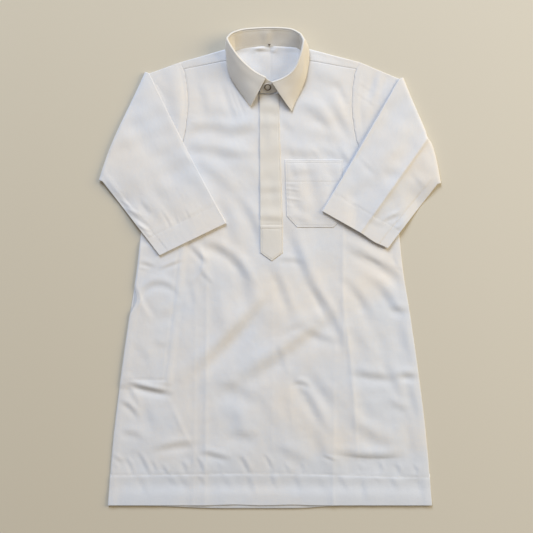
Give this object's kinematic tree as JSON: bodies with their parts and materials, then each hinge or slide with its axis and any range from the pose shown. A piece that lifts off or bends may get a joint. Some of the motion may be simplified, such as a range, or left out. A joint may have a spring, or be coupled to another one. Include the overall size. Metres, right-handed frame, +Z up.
{
  "type": "child's thobe robe laid flat",
  "caption": "Child's long plain robe laid flat, front up, with both sleeves folded over the front, a turned-down collar, a box placket and a chest pocket.",
  "frame": {"origin": "on the table, under the middle of the garment's outline box", "axes": "+X to the wearer's left, +Y from the hem to the collar, +Z up from the table"},
  "size_m": [0.4615, 0.6502, 0.0239],
  "materials": {
    "white_cotton": "plain woven cotton blend, matt, pressed",
    "collar_cotton": "the same cloth, stiffened, with a crisp edge",
    "snap_metal": "antique brass, dark and slightly worn"
  },
  "bodies": {
    "root": {"back_panel": "white_cotton", "front_panel": "white_cotton", "side_pocket_bag": "white_cotton", "placket": "white_cotton", "chest_pocket": "white_cotton", "right_sleeve": "white_cotton", "left_sleeve": "white_cotton", "collar_stand": "collar_cotton", "collar_leaf": "collar_cotton", "snap_ring": "snap_metal"}
  },
  "joints": []
}
